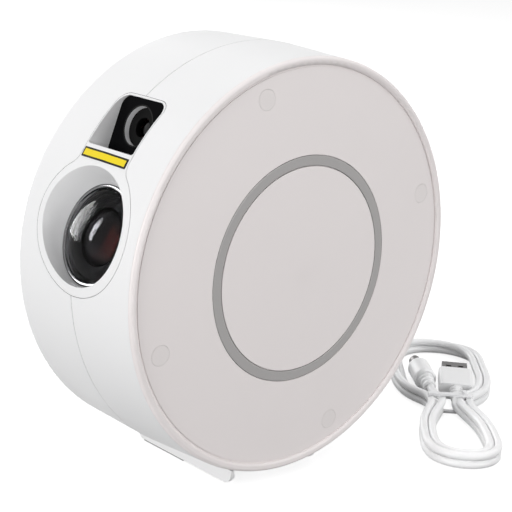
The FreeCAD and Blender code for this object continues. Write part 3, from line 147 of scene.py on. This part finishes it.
def makeCord(name, points, diameter):
    # round cord along a smooth curve between the points; its thickness comes from each point's radius
    data = bpy.data.curves.new(name, "CURVE")
    data.dimensions = "3D"
    data.bevel_depth = 1.0
    data.bevel_resolution = cable["roundness"]
    data.resolution_u = cable["smoothness"]
    spline = data.splines.new("NURBS")
    spline.points.add(len(points) - 1)
    for target, point in zip(spline.points, points):
        target.co = (*point, 1)
        target.radius = diameter / 2
    spline.order_u = 3
    spline.use_endpoint_u = True
    piece = bpy.data.objects.new(name, data)
    scene.collection.objects.link(piece)
    return piece


placed = [placeHank(point) for point in cablePoints]
powerCord = makeCord("powerCord", placed, cable["diameter"])
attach(powerCord, "stand")
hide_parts("cable_hank", "cable_lead")
print("cable laid,", len(cablePoints), "points")


# materials: what the finishes share
surface = {"mottleScale": 45.0, "mottleDetail": 3.0, "grainDetail": 2.0, "darkTone": 0.975,
           "noiseRange": (0.3, 0.7), "bevelSamples": 4, "paintedShadeSamples": 8, "coatRoughness": 0.06}


def newMaterial(name):
    material = bpy.data.materials.new(name)
    material.use_nodes = True
    tree = material.node_tree
    return material, tree, tree.nodes["Principled BSDF"]


def addNoise(tree, scale, detail=surface["mottleDetail"]):
    place = tree.nodes.new("ShaderNodeTexCoord")
    noise = tree.nodes.new("ShaderNodeTexNoise")
    noise.inputs["Scale"].default_value = scale
    noise.inputs["Detail"].default_value = detail
    tree.links.new(place.outputs["Object"], noise.inputs["Vector"])
    return noise.outputs["Fac"]


def remap(tree, value, low, high):
    # the middle part of a noise's values is spread from low to high
    ramp = tree.nodes.new("ShaderNodeMapRange")
    for socket, number in zip(("From Min", "From Max", "To Min", "To Max"), (*surface["noiseRange"], low, high)):
        ramp.inputs[socket].default_value = number
    tree.links.new(value, ramp.inputs["Value"])
    return ramp.outputs["Result"]


def addMath(tree, operation, first, second=0.0):
    step = tree.nodes.new("ShaderNodeMath")
    step.operation = operation
    for socket, value in zip(step.inputs, (first, second)):
        if isinstance(value, float):
            socket.default_value = value
        else:
            tree.links.new(value, socket)
    return step.outputs["Value"]


def addVectorMath(tree, operation, first, second=(0, 0, 0)):
    step = tree.nodes.new("ShaderNodeVectorMath")
    step.operation = operation
    step.inputs[1].default_value = second
    tree.links.new(first, step.inputs[0])
    return step.outputs["Value" if operation in ("DOT_PRODUCT", "LENGTH") else "Vector"]


def addDistance(tree, direction):
    # distance from the frame's origin along a direction: direction . point
    place = tree.nodes.new("ShaderNodeTexCoord")
    return addVectorMath(tree, "DOT_PRODUCT", place.outputs["Object"], direction)


def addTwoTone(tree, shader, first, second, share):
    tone = tree.nodes.new("ShaderNodeMix")
    tone.data_type = "RGBA"
    tone.inputs["A"].default_value = (*first, 1)
    tone.inputs["B"].default_value = (*second, 1)
    tree.links.new(share, tone.inputs["Factor"])
    tree.links.new(tone.outputs["Result"], shader.inputs["Base Color"])


def paintCreviceShade(tree, shader, reach):
    # painted shade: the colour is darker where other faces stand within reach, as in seams and slits
    shade = tree.nodes.new("ShaderNodeAmbientOcclusion")
    shade.samples = surface["paintedShadeSamples"]
    shade.inputs["Distance"].default_value = reach
    tree.links.new(shader.inputs["Base Color"].links[0].from_socket, shade.inputs["Color"])
    tree.links.new(shade.outputs["Color"], shader.inputs["Base Color"])


# the drum's slightly domed face: the dome's centre, how far from the axis its normal is used, and the plane
# that the face lies in front of
face = {"centre": (0, 1.41575, 0.0854), "reach": 0.036, "behind": -0.0325}


def addFaceNormal(tree, normal):
    # inside the ring the normal is (point - centre) / |point - centre|, elsewhere it stays as it comes
    place = tree.nodes.new("ShaderNodeTexCoord")
    away = addVectorMath(tree, "SUBTRACT", place.outputs["Object"], face["centre"])
    turned = tree.nodes.new("ShaderNodeVectorTransform")
    turned.vector_type = "NORMAL"
    turned.convert_from = "OBJECT"
    turned.convert_to = "WORLD"
    tree.links.new(addVectorMath(tree, "NORMALIZE", away), turned.inputs["Vector"])
    radius = addVectorMath(tree, "LENGTH", addVectorMath(tree, "MULTIPLY", away, (1, 0, 1)))
    inside = addMath(tree, "LESS_THAN", radius, face["reach"])
    inFront = addMath(tree, "LESS_THAN", addDistance(tree, (0, 1, 0)), face["behind"])
    choice = tree.nodes.new("ShaderNodeMix")
    choice.data_type = "VECTOR"
    tree.links.new(addMath(tree, "MULTIPLY", inside, inFront), choice.inputs["Factor"])
    tree.links.new(normal, choice.inputs["A"])
    tree.links.new(turned.outputs["Vector"], choice.inputs["B"])
    return choice.outputs["Result"]


def addGrain(tree, size, depth):
    # fine bumps, size apart and depth high
    bump = tree.nodes.new("ShaderNodeBump")
    bump.inputs["Distance"].default_value = depth
    bump.inputs["Strength"].default_value = 1.0
    tree.links.new(addNoise(tree, 1 / size, surface["grainDetail"]), bump.inputs["Height"])
    return bump


def moulded(name, colour, roughness, grainSize=0.0, grainDepth=0.0, spread=0.04, edge=0.0, metallic=0.0,
            specular=0.5, paintedShadeReach=0.0, domed=False):
    # moulded or painted surface: fine grain, slightly uneven gloss and tone, softened edges, and where asked
    # painted shade in seams and slits
    material, tree, shader = newMaterial(name)
    shader.inputs["Metallic"].default_value = metallic
    shader.inputs["Specular IOR Level"].default_value = specular
    mottle = addNoise(tree, surface["mottleScale"])
    tree.links.new(remap(tree, mottle, roughness - spread, roughness + spread), shader.inputs["Roughness"])
    addTwoTone(tree, shader, [c * surface["darkTone"] for c in colour], colour, mottle)
    # painted shade in seams and slits, where other faces stand close
    if paintedShadeReach:
        paintCreviceShade(tree, shader, paintedShadeReach)
    normal = None
    if edge:
        soft = tree.nodes.new("ShaderNodeBevel")
        soft.samples = surface["bevelSamples"]
        soft.inputs["Radius"].default_value = edge
        normal = soft.outputs["Normal"]
    if domed:
        normal = addFaceNormal(tree, normal)
    if grainDepth:
        bump = addGrain(tree, grainSize, grainDepth)
        if normal:
            tree.links.new(normal, bump.inputs["Normal"])
        normal = bump.outputs["Normal"]
    if normal:
        tree.links.new(normal, shader.inputs["Normal"])
    return material


def clear(name, colour, roughness=0.0, refraction=1.49, grainSize=0.0, grainDepth=0.0, coat=0.0):
    # glass or clear plastic; coat is the refraction of a thin layer that mirrors in the glass's place
    material, tree, shader = newMaterial(name)
    shader.inputs["Base Color"].default_value = (*colour, 1)
    shader.inputs["Roughness"].default_value = roughness
    shader.inputs["IOR"].default_value = refraction
    shader.inputs["Transmission Weight"].default_value = 1.0
    if coat:
        shader.inputs["Coat Weight"].default_value = 1.0
        shader.inputs["Coat IOR"].default_value = coat
        shader.inputs["Coat Roughness"].default_value = surface["coatRoughness"]
    if grainDepth:
        tree.links.new(addGrain(tree, grainSize, grainDepth).outputs["Normal"], shader.inputs["Normal"])
    return material


def finishGloss(tree, shader, settings):
    # slightly uneven roughness and a fixed specular level
    mottle = addNoise(tree, settings["mottleScale"])
    tree.links.new(remap(tree, mottle, *settings["roughness"]), shader.inputs["Roughness"])
    shader.inputs["Specular IOR Level"].default_value = settings["specular"]


# blank strip: middle and half size along the drum's axis and across, the width of its dark edge, and its finish
strip = {"alongMiddle": -0.00215, "alongHalf": 0.0124, "acrossMiddle": 0.07263, "acrossHalf": 0.0019,
         "across": (0.5262, 0, 0.8504), "edge": 0.0007, "yellow": (0.86, 0.68, 0.02), "dark": (0.01, 0.008, 0.004),
         "mottleScale": 60.0, "roughness": (0.4, 0.5), "specular": 0.25}


def film(name):
    # yellow film with a dark edge, where |distance from the middle| is over half size - edge
    material, tree, shader = newMaterial(name)
    outside = []
    for direction, middle, half in (((0, 1, 0), strip["alongMiddle"], strip["alongHalf"]),
                                    (strip["across"], strip["acrossMiddle"], strip["acrossHalf"])):
        fromMiddle = addMath(tree, "SUBTRACT", addDistance(tree, direction), middle)
        outside.append(addMath(tree, "GREATER_THAN", addMath(tree, "ABSOLUTE", fromMiddle), half - strip["edge"]))
    addTwoTone(tree, shader, strip["yellow"], strip["dark"], addMath(tree, "MAXIMUM", *outside))
    finishGloss(tree, shader, strip)
    return material


# laser tube: its direction out of the drum, where the painted shade on its end starts, the wall's colour and the
# black of that painted shade, and its finish
tube = {"outward": (-0.94264, 0, 0.33381), "endStart": 0.0980,
        "wall": (0.85, 0.85, 0.86), "end": (0.004, 0.004, 0.004),
        "mottleScale": 300.0, "roughness": (0.38, 0.5), "specular": 0.2}


def tubeWithPaintedShade(name):
    # pale wall with painted shade on its end: black where outward . point is past the painted shade's start, so
    # the end's lit rim looks shaded
    material, tree, shader = newMaterial(name)
    inPaintedShade = addMath(tree, "GREATER_THAN", addDistance(tree, tube["outward"]), tube["endStart"])
    addTwoTone(tree, shader, tube["wall"], tube["end"], inPaintedShade)
    finishGloss(tree, shader, tube)
    return material


finishes = {
    # the shell's white carries painted shade in its seams and slits
    "shell_white": moulded("shellWhite", (0.88, 0.88, 0.885), 0.42, 0.0006, 0.00001, edge=0.0003, paintedShadeReach=0.0008),
    # painted light: the cradle gets a lighter copy of the shell's white, so its side, shaded by the drum, reads as
    # brightly lit
    "cradle_lit_white": moulded("cradleLitWhite", (0.95, 0.945, 0.95), 0.42, 0.0006, 0.00001, edge=0.0003),
    "cover_white": moulded("coverWhite", (0.86, 0.81, 0.805), 0.45, 0.0006, 0.00001, edge=0.0003, domed=True),
    "trim_grey": moulded("trimGrey", (0.39, 0.378, 0.374), 0.38, edge=0.0002),
    "plug_grey": moulded("plugGrey", (0.825, 0.78, 0.772), 0.5, 0.0006, 0.00001, edge=0.0001),
    "recess_white": moulded("recessWhite", (0.87, 0.87, 0.875), 0.33, edge=0.0003),
    "film_yellow": film("filmYellow"),
    "black_gloss": moulded("blackGloss", (0.003, 0.003, 0.0035), 0.3, specular=0.015),
    "black_matt": moulded("blackMatt", (0.003, 0.003, 0.003), 0.6, specular=0.08),
    "chrome": moulded("chrome", (0.17, 0.17, 0.175), 0.25, metallic=1.0, spread=0.03),
    "lens_glass": clear("lensGlass", (0.6, 0.6, 0.62), refraction=1.002, coat=1.1),
    "inner_glass": clear("innerGlass", (0.028, 0.006, 0.005), refraction=1.3, coat=1.2),
    "ripple_clear": clear("rippleClear", (0.92, 0.96, 1.0), 0.02, 1.49, 0.004, 0.0004),
    "grating_film": moulded("gratingFilm", (0.5, 0.55, 0.7), 0.2, metallic=0.8),
    "tube_grey": tubeWithPaintedShade("tubeGrey"),
    "chassis_grey": moulded("chassisGrey", (0.05, 0.05, 0.055), 0.5, 0.0006, 0.00001),
    "steel": moulded("steel", (0.6, 0.6, 0.62), 0.28, metallic=1.0, edge=0.0001),
    "heatsink_black": moulded("heatsinkBlack", (0.3, 0.31, 0.32), 0.4, metallic=1.0, edge=0.0001),
    "brass": moulded("brass", (0.75, 0.55, 0.24), 0.25, metallic=1.0),
    "led_board_white": moulded("ledBoardWhite", (0.75, 0.75, 0.72), 0.4),
    "led_yellow": moulded("ledYellow", (0.85, 0.7, 0.2), 0.3),
    "gear_cream": moulded("gearCream", (0.82, 0.77, 0.65), 0.4, edge=0.0001),
    "pcb_green": moulded("pcbGreen", (0.02, 0.14, 0.06), 0.3),
    "chip_black": moulded("chipBlack", (0.02, 0.02, 0.022), 0.45),
    "switch_black": moulded("switchBlack", (0.03, 0.03, 0.032), 0.4),
    "button_white": moulded("buttonWhite", (0.78, 0.78, 0.79), 0.4, edge=0.0002),
    "cone_black": moulded("coneBlack", (0.03, 0.028, 0.025), 0.8),
    "magnet_grey": moulded("magnetGrey", (0.2, 0.2, 0.21), 0.35, metallic=0.8),
    "pad_grey": moulded("padGrey", (0.42, 0.42, 0.42), 0.8, 0.0008, 0.00002),
    "cable_white": moulded("cableWhite", (0.9, 0.9, 0.905), 0.38),
    "plug_metal": moulded("plugMetal", (0.1, 0.096, 0.096), 0.3, metallic=1.0),
    "plug_white": moulded("plugWhite", (0.88, 0.88, 0.885), 0.35, edge=0.0003),
    "tie_clear": moulded("tieClear", (0.82, 0.82, 0.83), 0.25),
}
slotOfNode = {row["node"]: row["material_slot"] for row in frame["record"]["subparts"]}
# the plug shells take the plug metal, and the cradle takes the lighter white of painted light
slotOfNode.update(usb_plug_shell="plug_metal", dc_plug_barrel="plug_metal", cradle="cradle_lit_white")
for name, node in nodes.items():
    node.data.materials.clear()
    node.data.materials.append(finishes[slotOfNode[name]])
powerCord.data.materials.append(finishes["cable_white"])
print("materials made")


# floor and light: the paper's colour as seen and as it lights the object, the share of it that takes the shadow
# and how white that share is when lit; each lamp's place, size in metres and power in watts
studio = {"floorSize": 6.0, "floorColour": 0.88, "floorBounce": 0.2, "floorRoughness": 0.9, "shadowShare": 0.5,
          "litLevel": 0.4, "worldStrength": 0.3, "aim": (-0.03, 0, 0.09)}
lamps = {"side": {"place": (-1.5, -0.1, 0.35), "width": 0.8, "height": 0.6, "power": 14.7, "link": "EXCLUDE"},
         "key": {"place": (-1.1, -0.9, 1.3), "width": 0.9, "height": 0.9, "power": 3.2, "link": "EXCLUDE"},
         "front": {"place": (0.3, -1.8, 0.4), "width": 1.4, "height": 0.5, "power": 12.9},
         "right": {"place": (1.2, -0.6, 1.1), "width": 0.9, "height": 0.9, "power": 5.5},
         "top": {"place": (0.45, 0.35, 1.4), "width": 0.9, "height": 0.9, "power": 5.8},
         "back": {"place": (0.4, 1.8, 0.45), "width": 1.2, "height": 0.8, "power": 9},
         "gleam": {"place": (-0.37, 1.235, 0.38), "width": 1.13, "height": 1.18, "power": 95, "link": "INCLUDE"}}
# a lamp with link INCLUDE shines on these pieces alone, and one with EXCLUDE on all but these
optics = ("dome_lens", "inner_lens", "chrome_ring")


def seenDirectly(tree):
    # 1 where a ray comes straight from the camera, or by way of metal or glass
    path = tree.nodes.new("ShaderNodeLightPath")
    seen = path.outputs["Is Camera Ray"]
    for kind in ("Is Glossy Ray", "Is Transmission Ray"):
        seen = addMath(tree, "MAXIMUM", seen, path.outputs[kind])
    return seen


def makeFloor():
    # white paper: seen directly it glows up to white in the open and keeps the object's shadow
    half = studio["floorSize"] / 2
    mesh = bpy.data.meshes.new("floor")
    mesh.from_pydata([(-half, -half, 0), (half, -half, 0), (half, half, 0), (-half, half, 0)], [], [(0, 1, 2, 3)])
    floor = bpy.data.objects.new("floor", mesh)
    scene.collection.objects.link(floor)
    material, tree, shader = newMaterial("floorPaper")
    shader.inputs["Base Color"].default_value = (*[studio["floorBounce"]] * 3, 1)
    shader.inputs["Roughness"].default_value = studio["floorRoughness"]
    shader.inputs["Specular IOR Level"].default_value = 0.0
    shadowed = tree.nodes.new("ShaderNodeBsdfDiffuse")
    shadowed.inputs["Color"].default_value = (*[studio["floorColour"] * studio["shadowShare"]] * 3, 1)
    glow = tree.nodes.new("ShaderNodeEmission")
    glow.inputs["Strength"].default_value = 1 - studio["shadowShare"] * studio["litLevel"]
    both = tree.nodes.new("ShaderNodeAddShader")
    tree.links.new(shadowed.outputs["BSDF"], both.inputs[0])
    tree.links.new(glow.outputs["Emission"], both.inputs[1])
    choice = tree.nodes.new("ShaderNodeMixShader")
    tree.links.new(seenDirectly(tree), choice.inputs["Fac"])
    tree.links.new(shader.outputs["BSDF"], choice.inputs[1])
    tree.links.new(both.outputs["Shader"], choice.inputs[2])
    tree.links.new(choice.outputs["Shader"], tree.nodes["Material Output"].inputs["Surface"])
    mesh.materials.append(material)


def makeAreaLight(name, settings):
    data = bpy.data.lights.new(name, "AREA")
    data.shape = "RECTANGLE"
    data.energy = settings["power"]
    data.size = settings["width"]
    data.size_y = settings["height"]
    light = bpy.data.objects.new(name, data)
    light.location = settings["place"]
    light.rotation_euler = (Vector(studio["aim"]) - light.location).to_track_quat("-Z", "Y").to_euler()
    scene.collection.objects.link(light)
    if "link" in settings:
        linked = bpy.data.collections.new(name)
        for piece in optics:
            linked.objects.link(nodes[piece])
        for entry in linked.collection_objects:
            entry.light_linking.link_state = settings["link"]
        light.light_linking.receiver_collection = linked


def makeWorld():
    world = bpy.data.worlds.new("studio")
    world.use_nodes = True
    tree = world.node_tree
    background = tree.nodes["Background"]
    background.inputs["Color"].default_value = (1, 1, 1, 1)
    strength = tree.nodes.new("ShaderNodeMapRange")
    strength.inputs["To Min"].default_value = studio["worldStrength"]
    strength.inputs["To Max"].default_value = 1.0
    tree.links.new(seenDirectly(tree), strength.inputs["Value"])
    tree.links.new(strength.outputs["Result"], background.inputs["Strength"])
    scene.world = world


makeFloor()
makeWorld()
for name, settings in lamps.items():
    makeAreaLight(name, settings)
print("studio lit")
